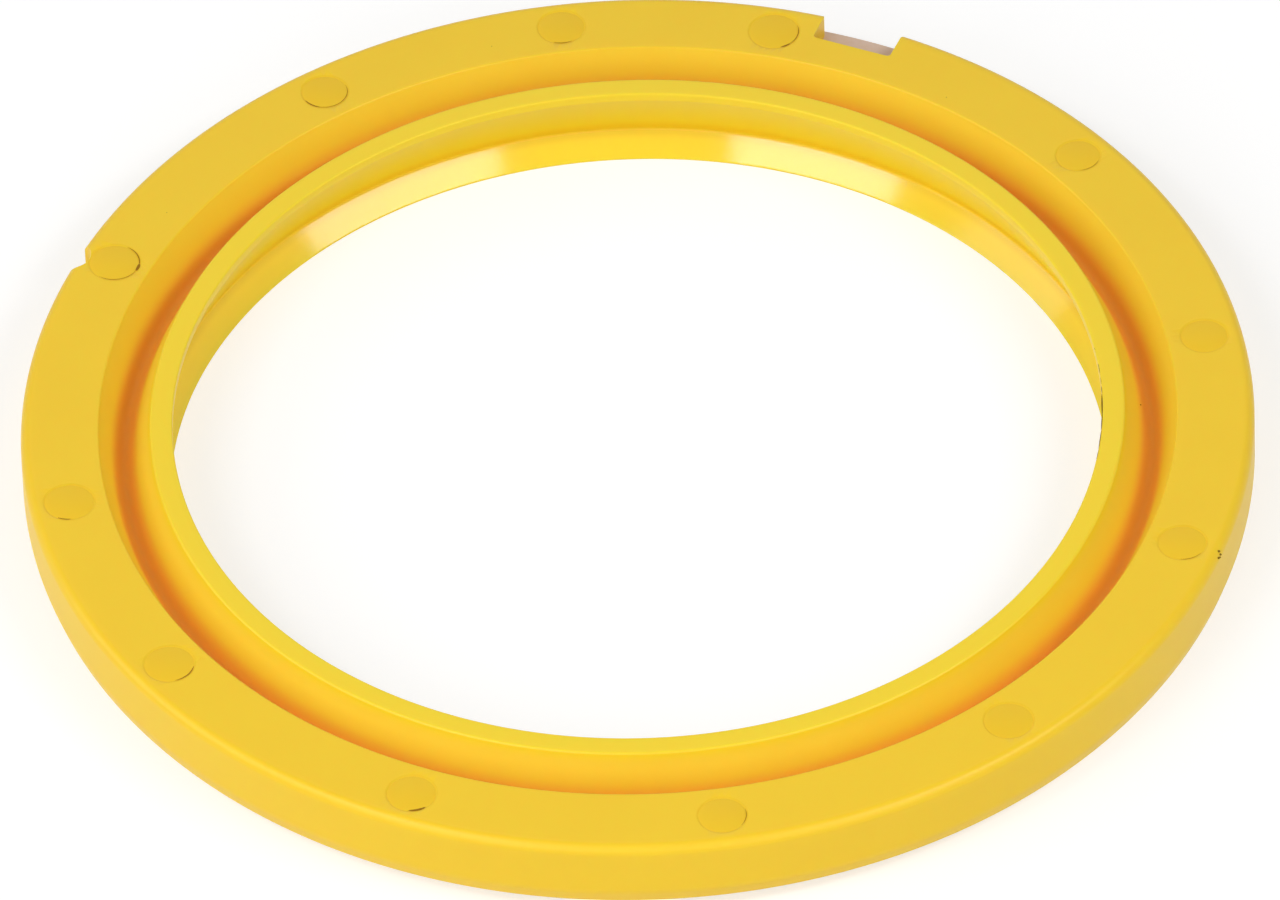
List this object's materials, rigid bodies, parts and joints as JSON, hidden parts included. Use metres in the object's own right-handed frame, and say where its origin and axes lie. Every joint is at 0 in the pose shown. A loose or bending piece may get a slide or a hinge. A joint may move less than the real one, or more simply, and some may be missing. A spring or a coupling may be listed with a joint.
{
  "type": "u cup seal",
  "caption": "Moulded polyurethane ring seal with an open groove between a thick static outer lip and a thin leaning inner lip.",
  "frame": {"origin": "centre of the heel, the flat face the ring stands on, on the ring's axis", "axes": "+Z along the ring's axis, from the heel towards the open groove and the lips; +X through the point of the outer wall from which the angles of the notches and pin marks are measured anticlockwise"},
  "size_m": [0.12, 0.12, 0.0094],
  "materials": {
    "polyurethane": "satin moulded yellow polyurethane elastomer"
  },
  "bodies": {
    "root": {"seal_ring": "polyurethane"}
  },
  "joints": []
}
